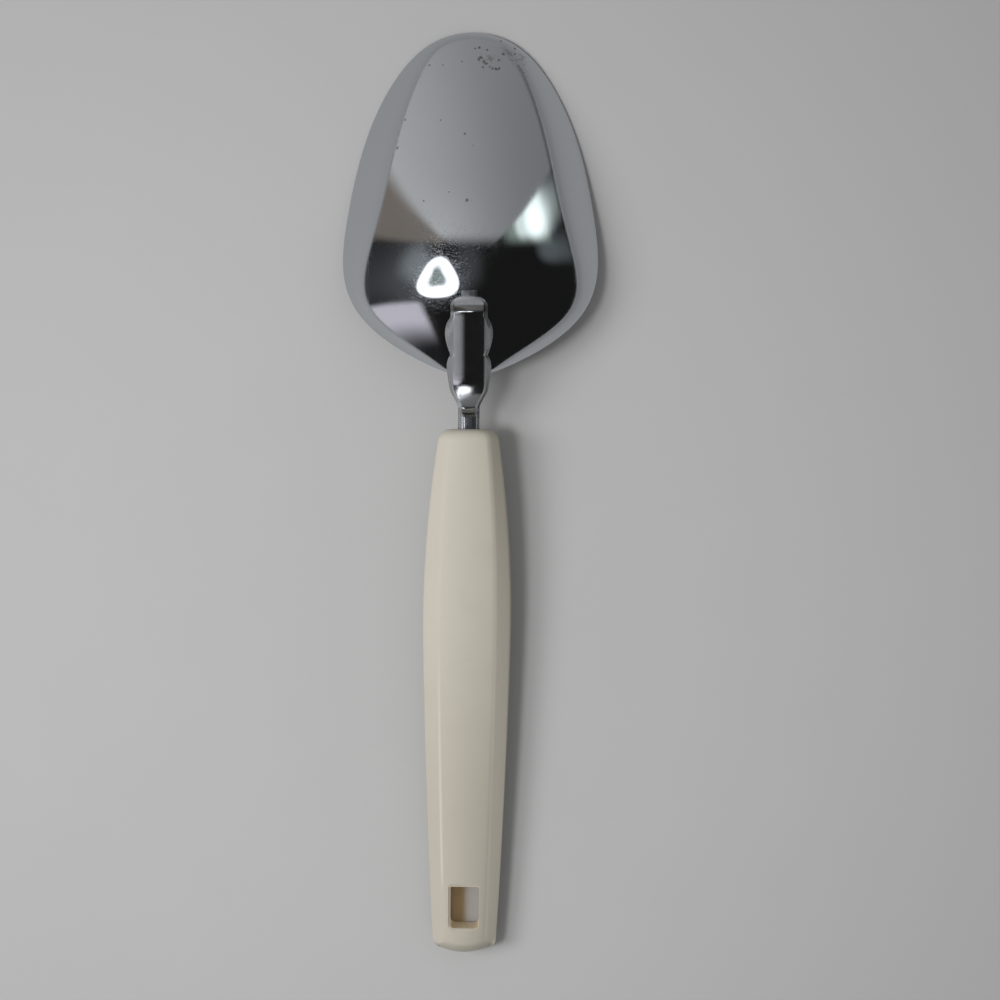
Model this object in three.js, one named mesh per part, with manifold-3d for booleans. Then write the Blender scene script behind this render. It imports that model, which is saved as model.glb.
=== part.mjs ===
import * as THREE from 'three';
import { mergeVertices } from 'three/addons/utils/BufferGeometryUtils.js';
import Module from 'manifold-3d';

// Kitchen scoop, lying face down as it is put away: an egg-shaped bowl pressed from sheet steel, a pressed
// sheet shank whose four ears are spot welded to the back of the bowl, and a moulded handle on its tang.
// Millimetres. +Z is up, +Y points from the handle to the tip of the bowl, +X is to the right.
// Along the object, places are measured as a run: the distance back from the tip of the bowl.

// Bowl
const BOWL_LENGTH = 103;
const BOWL_HALF_WIDTH = 35.95; // half way along
const TIP_TAPER = 8.87; // the heel half is wider than the tip half by this much
const END_FULLNESS = 11.12; // both ends are blunter than an ellipse by this much
const HEEL_SHOULDER = 2.41; // the heel half is fuller than the tip half by this much
const HEEL_POINT = 30.7; // the heel narrows to a blunt point from this much more
const BOWL_DEPTH = 23.8; // half way along, from the rim
const HEEL_DEEPENING = 6.75; // the heel half is deeper by this much
const END_DEEPENING = 2.9; // both ends fall more steeply, as if this much deeper
const TIP_DEEPENING = 7; // the very tip is steeper still, as if this much deeper
const CROWN_FLATNESS = 0.14; // share by which the crown is flatter, and the rim steeper, than a parabola
const HEEL_FULLNESS = 0.27; // share by which this grows towards the heel and shrinks towards the tip
const BOWL_WALL = 1.0;
const RIM_TOUCH = 20; // run at which the rim touches the table
const HEEL_LIFT = 14.8; // the rim at the heel stands this much higher than where it touches

// Shank
const SHEET = 1.0;
const LAP = 24.1; // from the heel of the bowl forward to the end of the tab
const TAB_LENGTH = 1.8;
const TAB_HALF_WIDTH = 2.3;
const NOSE_SLOPE = 2.5; // length of the rib's sloped front
const CAP_LENGTH = 2.0; // level top of the rib's front
const RIB_HALF_WIDTH = 4.8;
const RIB_RISE = 5.15; // crest above the back of the bowl, at the end of the cap
const RIB_ARCH = 0.9; // from the crest down to the foot of the rib
const RIB_SKIRT = 0.5; // skirt beyond the rib, where there is no ear
const BEND_PAST_HEEL = 1.1; // where the crest turns level
const KNEE_RISE = 3; // crest above the rim of the heel, at the bend
const KNEE_ROUNDING = 0.8;
const KNEE_PAST_HEEL = 3.4; // where the strip starts to narrow
const KNEE_TO_RIB_END = 5.7;
const RIB_END_DROP = 0.8; // crest's fall from the bend to the rib's end
const STEP_LENGTH = 2.6; // from the rib's round end down to the neck
const NECK_LENGTH = 3.2; // bare neck from there to the handle
const NECK_HEIGHT = 2.2;
const NECK_RIB_HALF_WIDTH = 2.5;
const NECK_SKIRT = 0.65;
const TANG_LENGTH = 50;

// Ears of the shank
const FRONT_EAR_REACH = 1.6; // beyond the skirt
const REAR_EAR_REACH = 1.15;
const CREST_TO_EAR = 1.3; // from the end of the cap to the start of the front ear
const EAR_NOTCH = 5.9; // ahead of the heel
const EAR_PAST_KNEE = 1.4;
const FRONT_EAR_SKEW = 0.77; // below one, an ear is widest nearer its front
const REAR_EAR_SKEW = 0.58;

// Spot welds
const WELD_RADIUS = 0.9;
const WELD_THICKNESS = 0.2;
const WELD_MARGIN = 0.5; // from the foot of the rib to the weld

// Handle
const HANDLE_LENGTH = 153.7;
const HANDLE_THICKNESS = 10.5;
const AXIS_BELOW_HEEL = 3.5; // the handle's axis, at its front, below the rim of the heel
const FRONT_HALF_WIDTH = 8.4;
const SWELL_HALF_WIDTH = 12.9;
const END_HALF_WIDTH = 9.2;
const SWELL_AT = 56; // from the handle's front to its widest place
const END_TAPER_POWER = 1.4; // above one, the narrowing to the end starts gently
const FRONT_SIDE_BEVEL = 2.6; // width of the sloping sides, seen from above
const SWELL_SIDE_BEVEL = 4.7;
const END_SIDE_BEVEL = 3.3;
const SIDE_HEIGHT = 3; // upright band between the upper and lower bevels
const ARRIS_RADIUS = 1.4;
const FRONT_DOME = 3.3;
const END_BEVEL = 2.7;
const END_BEVEL_DROP = 2.6;
const END_BOW = 2.3;
const END_BOW_REACH = 22;

// Hang hole
const HOLE_LENGTH = 12.3;
const HOLE_WIDTH = 8.5;
const HOLE_TO_END = 7.7;
const HOLE_FRONT_CORNER = 0.6;
const HOLE_END_CORNER = 1.6;
const LIP_WIDTH = 1.3;
const LIP_DEPTH = 0.8;

// Clearances
const WELD_GAP = 0.6; // between the back of the bowl and the underside of the shank
const TANG_GAP = 0.3;

// Fineness of the meshes
const RIM_STEPS = 64;
const BOWL_RINGS = 10;
const STATION_STEP = 1.5;
const ARCH_STEPS = 5;
const WELD_STEPS = 12;
const ARRIS_STEPS = 3;
const FLAT_PARTS = 4;
const HANDLE_STATIONS = 18;
const DOME_STATIONS = 4;
const CORNER_STEPS = 4;

const STEEL = new THREE.MeshStandardMaterial({ color: 0xc4c8cc, roughness: 0.08, metalness: 1 });
const WELD_STEEL = new THREE.MeshStandardMaterial({ color: 0x8f9296, roughness: 0.45, metalness: 1 });
const CREAM_PLASTIC = new THREE.MeshStandardMaterial({ color: 0xe9e4d2, roughness: 0.5, metalness: 0 });

// Rises smoothly from 0 to 1 as a value goes from one place to another.
function ease(value, from, to) {
  return THREE.MathUtils.smoothstep(value, from, to);
}

// The larger of two values, with the crease between them rounded off.
function softMax(a, b, rounding) {
  return (a + b + Math.hypot(a - b, rounding)) / 2;
}

// A closed solid from points and triangles.
function solidGeometry(points, triangles) {
  const geometry = new THREE.BufferGeometry();
  geometry.setAttribute('position', new THREE.Float32BufferAttribute(points.flat(), 3));
  geometry.setIndex(triangles.flat());
  geometry.computeVertexNormals();
  return geometry;
}

// Two triangles for a four-sided face.
function quad(a, b, c, d) {
  return [[a, b, c], [a, c, d]];
}

// Bowl: the outline is an ellipse in angle whose width carries three egg-shaping terms, and from the middle
// out to the rim the back falls as a parabola does, with a flatter crown where the bowl is fuller.
function lengthCosine(run) {
  return 1 - 2 * run / BOWL_LENGTH;
}

function eggWidth(cosine) {
  const point = HEEL_POINT * (cosine ** 4 - cosine ** 5) / 2;
  const blunt = END_FULLNESS * cosine ** 2 - HEEL_SHOULDER * cosine ** 3;
  return BOWL_HALF_WIDTH - TIP_TAPER * cosine + blunt - point;
}

function rimPoint(angle) {
  const run = BOWL_LENGTH * (1 - Math.cos(angle)) / 2;
  return { run, x: Math.sin(angle) * eggWidth(Math.cos(angle)) };
}

function rimLift(run) {
  return HEEL_LIFT * ((run - RIM_TOUCH) / (BOWL_LENGTH - RIM_TOUCH)) ** 2;
}

function depthAt(cosine) {
  const ends = END_DEEPENING * cosine ** 2 + TIP_DEEPENING * cosine ** 3;
  return BOWL_DEPTH - HEEL_DEEPENING * cosine + ends;
}

// Height of the back of the bowl above where its rim touches; it also runs on smoothly past the rim.
function backShape(run, x) {
  const cosine = lengthCosine(run);
  const outward = cosine ** 2 + (x / eggWidth(cosine)) ** 2; // 0 in the middle and 1 at the rim
  const fullness = CROWN_FLATNESS - HEEL_FULLNESS * cosine;
  const rise = depthAt(cosine) * (1 - outward);
  return rimLift(run) + rise * (1 + fullness * (outward - 0.5));
}

function backNormal(run, x) {
  const small = 1e-3;
  const alongX = (backShape(run, x + small) - backShape(run, x - small)) / (2 * small);
  const alongRun = (backShape(run + small, x) - backShape(run - small, x)) / (2 * small);
  return new THREE.Vector3(-alongX, alongRun, 1).normalize();
}

// The inner edge of the rim is what touches the table, so its lowest point sets the table's height.
const rimAngles = Array.from({ length: RIM_STEPS }, (_, i) => 2 * Math.PI * i / RIM_STEPS);
const TABLE = Math.min(...rimAngles.map((angle) => {
  const { run, x } = rimPoint(angle);
  return backShape(run, x) - BOWL_WALL * backNormal(run, x).z;
}));

function backHeight(run, x) {
  return backShape(run, x) - TABLE;
}

const HEEL_HEIGHT = backHeight(BOWL_LENGTH, 0);

// Handle's axis: it runs straight through the tang, down to where the far end's underside rests on the table.
const KNEE_RUN = BOWL_LENGTH + KNEE_PAST_HEEL;
const NECK_RUN = KNEE_RUN + KNEE_TO_RIB_END;
const STEP_RUN = NECK_RUN + STEP_LENGTH;
const HANDLE_RUN = STEP_RUN + NECK_LENGTH;
const AXIS_FRONT_HEIGHT = HEEL_HEIGHT - AXIS_BELOW_HEEL;
const REST_REACH = HANDLE_LENGTH - END_BEVEL;
const TILT = Math.asin(AXIS_FRONT_HEIGHT / Math.hypot(REST_REACH, HANDLE_THICKNESS / 2))
  - Math.atan2(HANDLE_THICKNESS / 2, REST_REACH);

function axisHeight(run) {
  return AXIS_FRONT_HEIGHT - (run - HANDLE_RUN) * Math.tan(TILT);
}

// The object is centred on its own length, from the bowl's tip to the upper edge of the handle's end face.
const END_FACE_HALF_HEIGHT = HANDLE_THICKNESS / 2 - END_BEVEL_DROP;
const FULL_LENGTH = HANDLE_RUN + HANDLE_LENGTH * Math.cos(TILT) + END_FACE_HALF_HEIGHT * Math.sin(TILT);
const HALF_LENGTH = FULL_LENGTH / 2;

function bowlGeometry() {
  const outer = [];
  const inner = [];
  const addPoint = (run, x) => {
    const point = new THREE.Vector3(x, HALF_LENGTH - run, backHeight(run, x));
    const under = point.clone().addScaledVector(backNormal(run, x), -BOWL_WALL);
    outer.push(point.toArray());
    inner.push(under.toArray());
  };
  const middle = BOWL_LENGTH / 2;
  addPoint(middle, 0);
  for (let ring = 1; ring <= BOWL_RINGS; ring += 1) {
    const share = ring / BOWL_RINGS;
    for (const angle of rimAngles) {
      const rim = rimPoint(angle);
      addPoint(middle + share * (rim.run - middle), share * rim.x);
    }
  }
  const under = outer.length;
  const triangles = [];
  const addBothSides = (a, b, c) => triangles.push([a, b, c], [under + a, under + c, under + b]);
  for (let i = 0; i < RIM_STEPS; i += 1) {
    const next = (i + 1) % RIM_STEPS;
    addBothSides(0, 1 + next, 1 + i);
    for (let ring = 1; ring < BOWL_RINGS; ring += 1) {
      const near = 1 + (ring - 1) * RIM_STEPS;
      const far = near + RIM_STEPS;
      quad(near + i, near + next, far + next, far + i).forEach((face) => addBothSides(...face));
    }
    const rim = 1 + (BOWL_RINGS - 1) * RIM_STEPS;
    triangles.push(...quad(rim + i, rim + next, under + rim + next, under + rim + i));
  }
  return solidGeometry([...outer, ...inner], triangles);
}

// Shank: a sheet bent over a raised rib. Its underside follows the back of the bowl, then curves down to
// the neck.
const TAB_RUN = BOWL_LENGTH - LAP;
const NOSE_RUN = TAB_RUN + TAB_LENGTH;
const CAP_RUN = NOSE_RUN + NOSE_SLOPE;
const CREST_RUN = CAP_RUN + CAP_LENGTH;
const BEND_RUN = BOWL_LENGTH + BEND_PAST_HEEL;
const FRONT_EAR_RUN = CREST_RUN + CREST_TO_EAR;
const NOTCH_RUN = BOWL_LENGTH - EAR_NOTCH;
const REAR_EAR_RUN = KNEE_RUN + EAR_PAST_KNEE;
const SKIRT_HALF_WIDTH = RIB_HALF_WIDTH + RIB_SKIRT;
const NECK_HALF_WIDTH = NECK_RIB_HALF_WIDTH + NECK_SKIRT;
const TANG_END_RUN = HANDLE_RUN + TANG_LENGTH * Math.cos(TILT);

function neckUnderside(run) {
  return axisHeight(run) - NECK_HEIGHT / 2;
}

// A cubic that leaves the heel along the back of the bowl and arrives along the handle's axis.
function heelToNeck(run) {
  const span = NECK_RUN - BOWL_LENGTH;
  const share = (run - BOWL_LENGTH) / span;
  const heelNormal = backNormal(BOWL_LENGTH, 0);
  const heelSlope = span * heelNormal.y / heelNormal.z;
  const neckSlope = -span * Math.tan(TILT);
  const settled = share ** 2 * (3 - 2 * share);
  const leaving = share * (1 - share) ** 2 * heelSlope;
  const arriving = share ** 2 * (share - 1) * neckSlope;
  return (1 - settled) * (HEEL_HEIGHT + WELD_GAP) + settled * neckUnderside(NECK_RUN) + leaving + arriving;
}

function shankUnderside(run, x) {
  if (run <= BOWL_LENGTH) {
    return backHeight(run, x) + WELD_GAP;
  }
  if (run >= NECK_RUN) {
    return neckUnderside(run);
  }
  const crossCurve = HEEL_HEIGHT - backHeight(BOWL_LENGTH, x);
  return heelToNeck(run) - crossCurve * (1 - ease(run, BOWL_LENGTH, NECK_RUN));
}

// How far an ear stands out between two places: pointed at both ends, widest towards its front.
function earLobe(run, from, to, skew) {
  const share = THREE.MathUtils.clamp((run - from) / (to - from), 0, 1);
  return Math.sin(Math.PI * share ** skew);
}

// The strip opens from the tab to the rib's full width in a quarter of an ellipse.
function roundFront(run) {
  const share = THREE.MathUtils.clamp((run - NOSE_RUN) / NOSE_SLOPE, 0, 1);
  return Math.sqrt(1 - (1 - share) ** 2);
}

function skirtHalfWidth(run) {
  const opened = roundFront(run);
  const narrowed = ease(run, KNEE_RUN, NECK_RUN);
  const plain = THREE.MathUtils.lerp(TAB_HALF_WIDTH, SKIRT_HALF_WIDTH, opened)
    + (NECK_HALF_WIDTH - SKIRT_HALF_WIDTH) * narrowed;
  const frontEar = FRONT_EAR_REACH * earLobe(run, FRONT_EAR_RUN, NOTCH_RUN, FRONT_EAR_SKEW);
  const rearEar = REAR_EAR_REACH * earLobe(run, NOTCH_RUN, REAR_EAR_RUN, REAR_EAR_SKEW);
  return plain + frontEar + rearEar;
}

function ribHalfWidth(run) {
  const tab = TAB_HALF_WIDTH - RIB_SKIRT;
  const opened = THREE.MathUtils.lerp(tab, RIB_HALF_WIDTH, roundFront(run));
  return opened + (NECK_RIB_HALF_WIDTH - RIB_HALF_WIDTH) * ease(run, KNEE_RUN, NECK_RUN);
}

// The crest is level over the cap, falls straight to its bend, droops a little to the rib's end, and steps down
// to the neck.
function crestHeight(run) {
  const frontCrest = backHeight(CREST_RUN, 0) + RIB_RISE;
  const kneeCrest = HEEL_HEIGHT + KNEE_RISE;
  const toBend = Math.min((BEND_RUN - run) / (BEND_RUN - CREST_RUN), 1);
  const steep = kneeCrest + (frontCrest - kneeCrest) * toBend;
  const pastBend = Math.max((run - BEND_RUN) / (NECK_RUN - BEND_RUN), 0);
  const droop = kneeCrest - RIB_END_DROP * pastBend ** 2;
  const rib = softMax(steep, droop, KNEE_ROUNDING);
  const neck = neckUnderside(run) + NECK_HEIGHT;
  return THREE.MathUtils.lerp(rib, neck, ease(run, NECK_RUN, STEP_RUN));
}

// One cross-section, from the right edge over the rib to the left edge, on the top and on the underside: the
// ears slope up to the foot of the rib, and the rib is the same low arch all along.
function shankSection(run) {
  const edge = skirtHalfWidth(run);
  const rib = ribHalfWidth(run);
  const raised = THREE.MathUtils.clamp((run - NOSE_RUN) / NOSE_SLOPE, 0, 1);
  const rise = (crestHeight(run) - shankUnderside(run, 0) - SHEET) * raised;
  const y = HALF_LENGTH - run;
  const top = [[edge, y, shankUnderside(run, edge) + SHEET]];
  const under = [[edge, y, shankUnderside(run, edge)]];
  for (let i = 0; i <= ARCH_STEPS; i += 1) {
    const share = 1 - i / ARCH_STEPS;
    const outerX = rib * share;
    const lift = Math.max(rise - RIB_ARCH * (outerX / RIB_HALF_WIDTH) ** 2, 0);
    const innerX = (rib - SHEET) * share;
    top.push([outerX, y, shankUnderside(run, outerX) + SHEET + lift]);
    under.push([innerX, y, shankUnderside(run, innerX) + lift]);
  }
  const flip = ([x, ...rest]) => [-x, ...rest];
  const bothHalves = (points) => [...points, ...points.slice(0, -1).reverse().map(flip)];
  return { top: bothHalves(top), under: bothHalves(under) };
}

// Places along the shank where its shape changes, with even steps between them.
function shankRuns() {
  const places = [
    TAB_RUN, NOSE_RUN, CAP_RUN, CREST_RUN, FRONT_EAR_RUN, NOTCH_RUN, BOWL_LENGTH, BEND_RUN, KNEE_RUN, NECK_RUN,
    STEP_RUN,
  ];
  const runs = [];
  for (let i = 0; i + 1 < places.length; i += 1) {
    const span = places[i + 1] - places[i];
    const steps = Math.ceil(span / STATION_STEP);
    for (let k = 0; k < steps; k += 1) {
      runs.push(places[i] + span * k / steps);
    }
  }
  return [...runs, STEP_RUN, TANG_END_RUN];
}

// A bent sheet with thickness: its top and underside are grids, closed along all four borders.
function sheetGeometry(sections) {
  const across = sections[0].top.length;
  const under = sections.length * across;
  const triangles = [];
  for (let i = 0; i + 1 < sections.length; i += 1) {
    for (let k = 0; k + 1 < across; k += 1) {
      const a = i * across + k;
      const b = a + across;
      triangles.push(...quad(a, a + 1, b + 1, b));
      triangles.push(...quad(under + a, under + b, under + b + 1, under + a + 1));
    }
    const right = i * across;
    const left = right + across - 1;
    triangles.push(...quad(right, right + across, under + right + across, under + right));
    triangles.push(...quad(left, under + left, under + left + across, left + across));
  }
  const last = under - across;
  for (let k = 0; k + 1 < across; k += 1) {
    triangles.push(...quad(k, under + k, under + k + 1, k + 1));
    triangles.push(...quad(last + k, last + k + 1, under + last + k + 1, under + last + k));
  }
  const topPoints = sections.flatMap((section) => section.top);
  const underPoints = sections.flatMap((section) => section.under);
  return solidGeometry([...topPoints, ...underPoints], triangles);
}

// Spot weld: a thin round nugget that follows the back of the bowl, between the bowl and an ear of the shank.
function weldGeometry(centreRun, centreX) {
  const lower = (WELD_GAP - WELD_THICKNESS) / 2;
  const points = [];
  const addPair = (run, x) => {
    const height = backHeight(run, x) + lower;
    points.push([x, HALF_LENGTH - run, height], [x, HALF_LENGTH - run, height + WELD_THICKNESS]);
  };
  addPair(centreRun, centreX);
  const triangles = [];
  for (let i = 0; i < WELD_STEPS; i += 1) {
    const angle = 2 * Math.PI * i / WELD_STEPS;
    addPair(centreRun - WELD_RADIUS * Math.sin(angle), centreX + WELD_RADIUS * Math.cos(angle));
    const low = 2 + 2 * i;
    const nextLow = 2 + 2 * ((i + 1) % WELD_STEPS);
    triangles.push([0, nextLow, low], [1, low + 1, nextLow + 1]);
    triangles.push(...quad(low, nextLow, nextLow + 1, low + 1));
  }
  return solidGeometry(points, triangles);
}

// A solid through closed rings of points, with a fan of triangles over each end.
function ringGeometry(rings) {
  const around = rings[0].length;
  const points = rings.flat();
  const triangles = [];
  for (let i = 0; i + 1 < rings.length; i += 1) {
    for (let k = 0; k < around; k += 1) {
      const next = (k + 1) % around;
      const near = i * around;
      const far = near + around;
      triangles.push(...quad(near + k, near + next, far + next, far + k));
    }
  }
  const mean = (ring, axis) => ring.reduce((sum, point) => sum + point[axis], 0) / around;
  const middle = (ring) => [mean(ring, 0), mean(ring, 1), mean(ring, 2)];
  const first = points.push(middle(rings[0])) - 1;
  const last = points.push(middle(rings[rings.length - 1])) - 1;
  const lastRing = (rings.length - 1) * around;
  for (let k = 0; k < around; k += 1) {
    const next = (k + 1) % around;
    triangles.push([first, next, k], [last, lastRing + k, lastRing + next]);
  }
  return solidGeometry(points, triangles);
}

// A polygon's corners as short curves, each with its own radius. Where a corner gives a number of parts, the
// straight edge after it is split into that many.
function roundedOutline(corners, steps) {
  const curves = corners.map(({ x, z, radius }, i) => {
    const corner = new THREE.Vector2(x, z);
    const before = corners[(i + corners.length - 1) % corners.length];
    const after = corners[(i + 1) % corners.length];
    const toBefore = new THREE.Vector2(before.x - x, before.z - z);
    const toAfter = new THREE.Vector2(after.x - x, after.z - z);
    const turn = Math.acos(toBefore.dot(toAfter) / (toBefore.length() * toAfter.length()));
    const reach = Math.min(radius / Math.tan(turn / 2), toBefore.length() / 2, toAfter.length() / 2);
    const from = corner.clone().addScaledVector(toBefore.normalize(), reach);
    const to = corner.clone().addScaledVector(toAfter.normalize(), reach);
    return new THREE.QuadraticBezierCurve(from, corner, to).getPoints(steps);
  });
  return curves.flatMap((curve, i) => {
    const parts = corners[i].parts ?? 1;
    const start = curve[steps];
    const end = curves[(i + 1) % curves.length][0];
    const between = Array.from({ length: parts - 1 }, (_, k) => start.clone().lerp(end, (k + 1) / parts));
    return [...curve, ...between];
  });
}

// Handle, in its own frame: the front end at the origin, the axis along -Y.
// A half width along the handle: it swells from the front to its widest place and narrows to the end.
function swell(along, front, widest, end) {
  if (along < SWELL_AT) {
    return widest - (widest - front) * (1 - along / SWELL_AT) ** 2;
  }
  return widest - (widest - end) * ((along - SWELL_AT) / (HANDLE_LENGTH - SWELL_AT)) ** END_TAPER_POWER;
}

function handleRing(along) {
  const intoDome = 1 - Math.min(along / FRONT_DOME, 1);
  const inset = FRONT_DOME * (1 - Math.sqrt(1 - intoDome ** 2));
  const intoBevel = Math.max(along - (HANDLE_LENGTH - END_BEVEL), 0) / END_BEVEL;
  const drop = END_BEVEL_DROP * intoBevel;
  const width = swell(along, FRONT_HALF_WIDTH, SWELL_HALF_WIDTH, END_HALF_WIDTH);
  const bevel = swell(along, FRONT_SIDE_BEVEL, SWELL_SIDE_BEVEL, END_SIDE_BEVEL);
  const bevelRun = bevel / (HANDLE_THICKNESS / 2 - SIDE_HEIGHT / 2);
  const half = HANDLE_THICKNESS / 2 - inset - drop;
  const side = SIDE_HEIGHT / 2 * (1 - inset / (HANDLE_THICKNESS / 2));
  const outerX = width - inset;
  const flatX = (width - bevel + drop * bevelRun) * outerX / width;
  const corner = (x, z, parts) => ({ x, z, radius: ARRIS_RADIUS, parts });
  const outline = roundedOutline([
    corner(flatX, half, FLAT_PARTS), corner(-flatX, half), corner(-outerX, side), corner(-outerX, -side),
    corner(-flatX, -half, FLAT_PARTS), corner(flatX, -half), corner(outerX, -side), corner(outerX, side),
  ], ARRIS_STEPS);
  const bow = END_BOW * ease(along, HANDLE_LENGTH - END_BOW_REACH, HANDLE_LENGTH);
  return outline.map(({ x, y }) => [x, bow * (x / width) ** 2 - along, y]);
}

function handleBlank() {
  const stations = [];
  for (let i = 0; i < DOME_STATIONS; i += 1) {
    stations.push(FRONT_DOME * (1 - Math.cos(Math.PI / 2 * i / DOME_STATIONS)));
  }
  const straight = HANDLE_LENGTH - END_BEVEL - FRONT_DOME;
  for (let i = 0; i <= HANDLE_STATIONS; i += 1) {
    stations.push(FRONT_DOME + straight * i / HANDLE_STATIONS);
  }
  stations.push(HANDLE_LENGTH);
  return ringGeometry(stations.map(handleRing));
}

// Hang hole: upright through the handle, its mouth opened out to a shallow sloped lip above and below.
function hangHoleCutter() {
  const middle = HANDLE_LENGTH - HOLE_TO_END - HOLE_LENGTH / 2;
  const level = HANDLE_THICKNESS / 2;
  const ring = (height, growth) => {
    const corner = (x, z, radius) => ({ x, z, radius: radius + growth });
    const halfX = HOLE_WIDTH / 2 + growth;
    const halfY = HOLE_LENGTH / 2 + growth;
    const outline = roundedOutline([
      corner(halfX, halfY, HOLE_FRONT_CORNER), corner(-halfX, halfY, HOLE_FRONT_CORNER),
      corner(-halfX, -halfY, HOLE_END_CORNER), corner(halfX, -halfY, HOLE_END_CORNER),
    ], CORNER_STEPS);
    return outline.map(({ x, y }) => [x, y - middle, height]);
  };
  return ringGeometry([
    ring(-level - LIP_DEPTH, 2 * LIP_WIDTH), ring(LIP_DEPTH - level, 0),
    ring(level - LIP_DEPTH, 0), ring(level + LIP_DEPTH, 2 * LIP_WIDTH),
  ]);
}

// Socket for the tang, open at the handle's front.
function socketCutter() {
  const depth = TANG_LENGTH + TANG_GAP;
  const width = 2 * (NECK_HALF_WIDTH + TANG_GAP);
  return new THREE.BoxGeometry(width, 2 * depth, NECK_HEIGHT + 2 * TANG_GAP);
}

const wasm = await Module();
wasm.setup();

function toManifold(geometry) {
  const bare = geometry.clone();
  bare.deleteAttribute('normal');
  bare.deleteAttribute('uv');
  const merged = mergeVertices(bare);
  const vertProperties = new Float32Array(merged.attributes.position.array);
  const triVerts = new Uint32Array(merged.index.array);
  return new wasm.Manifold(new wasm.Mesh({ numProp: 3, vertProperties, triVerts }));
}

function fromManifold(solid) {
  const { vertProperties, triVerts } = solid.getMesh();
  const geometry = new THREE.BufferGeometry();
  geometry.setAttribute('position', new THREE.BufferAttribute(vertProperties, 3));
  geometry.setIndex(new THREE.BufferAttribute(triVerts, 1));
  geometry.computeVertexNormals();
  return geometry;
}

function handleGeometry() {
  const blank = toManifold(handleBlank());
  return fromManifold(blank.subtract(toManifold(hangHoleCutter())).subtract(toManifold(socketCutter())));
}

function namedMesh(name, geometry, material) {
  const mesh = new THREE.Mesh(geometry, material);
  mesh.name = name;
  return mesh;
}

const scoop = new THREE.Group();
scoop.add(namedMesh('bowl', bowlGeometry(), STEEL));
scoop.add(namedMesh('shank', sheetGeometry(shankRuns().map(shankSection)), STEEL));

// The front welds sit under the widest place of the front ears, the rear ones half way from notch to heel.
const frontWeldShare = 0.5 ** (1 / FRONT_EAR_SKEW);
const frontWeldRun = THREE.MathUtils.lerp(FRONT_EAR_RUN, NOTCH_RUN, frontWeldShare);
const rearWeldRun = (NOTCH_RUN + BOWL_LENGTH) / 2;
const weldX = RIB_HALF_WIDTH - SHEET + WELD_MARGIN + WELD_RADIUS;
for (const [row, run] of [['front', frontWeldRun], ['rear', rearWeldRun]]) {
  for (const [side, x] of [['left', -weldX], ['right', weldX]]) {
    scoop.add(namedMesh(`spot_weld_${row}_${side}`, weldGeometry(run, x), WELD_STEEL));
  }
}

const handle = namedMesh('handle', handleGeometry(), CREAM_PLASTIC);
handle.position.set(0, HALF_LENGTH - HANDLE_RUN, AXIS_FRONT_HEIGHT);
handle.rotation.x = TILT;
scoop.add(handle);

export default scoop;
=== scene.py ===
# %% [markdown]
# # A kitchen scoop, lying face down
# The scoop is a pressed and plated steel bowl, a plated sheet-steel shank that is spot-welded to the back
# of the bowl, and a moulded cream handle. The packed CAD model says how large each piece is and where it
# lies. This lesson gives each piece a finer surface in the same place, in metres, and then its finish.

# %% Load the packed model
import math
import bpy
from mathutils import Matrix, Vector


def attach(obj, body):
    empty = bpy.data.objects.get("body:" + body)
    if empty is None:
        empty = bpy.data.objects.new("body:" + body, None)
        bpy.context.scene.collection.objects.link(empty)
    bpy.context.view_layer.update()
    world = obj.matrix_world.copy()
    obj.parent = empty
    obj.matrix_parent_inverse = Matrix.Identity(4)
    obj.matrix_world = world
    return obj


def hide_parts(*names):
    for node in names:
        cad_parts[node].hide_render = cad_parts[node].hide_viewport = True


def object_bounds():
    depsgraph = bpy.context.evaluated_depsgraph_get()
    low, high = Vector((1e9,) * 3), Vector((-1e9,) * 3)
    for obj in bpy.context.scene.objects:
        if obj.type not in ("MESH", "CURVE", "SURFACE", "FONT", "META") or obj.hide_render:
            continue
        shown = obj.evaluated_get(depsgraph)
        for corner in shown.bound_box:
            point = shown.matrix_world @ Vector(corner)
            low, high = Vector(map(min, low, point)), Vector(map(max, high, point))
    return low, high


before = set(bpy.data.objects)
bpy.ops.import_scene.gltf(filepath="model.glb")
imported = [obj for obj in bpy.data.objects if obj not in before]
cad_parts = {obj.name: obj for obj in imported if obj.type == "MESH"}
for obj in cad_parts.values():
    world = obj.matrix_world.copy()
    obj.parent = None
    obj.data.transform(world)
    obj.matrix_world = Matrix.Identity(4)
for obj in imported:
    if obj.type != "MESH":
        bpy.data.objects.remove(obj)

from types import SimpleNamespace

import bmesh
import bpy
from mathutils import Matrix, Vector

cad_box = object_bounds()
print("CAD box in metres:", *cad_box)

# %% [markdown]
# ## Sums on sockets
# A finish is mostly arithmetic: distances, masks and mixtures. Written node by node it is hard to read, so
# one small class wraps a socket, and each operator adds a Math node. The same class serves shaders and
# Geometry Nodes, and a formula written once works on plain numbers as well as on wires.

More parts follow.
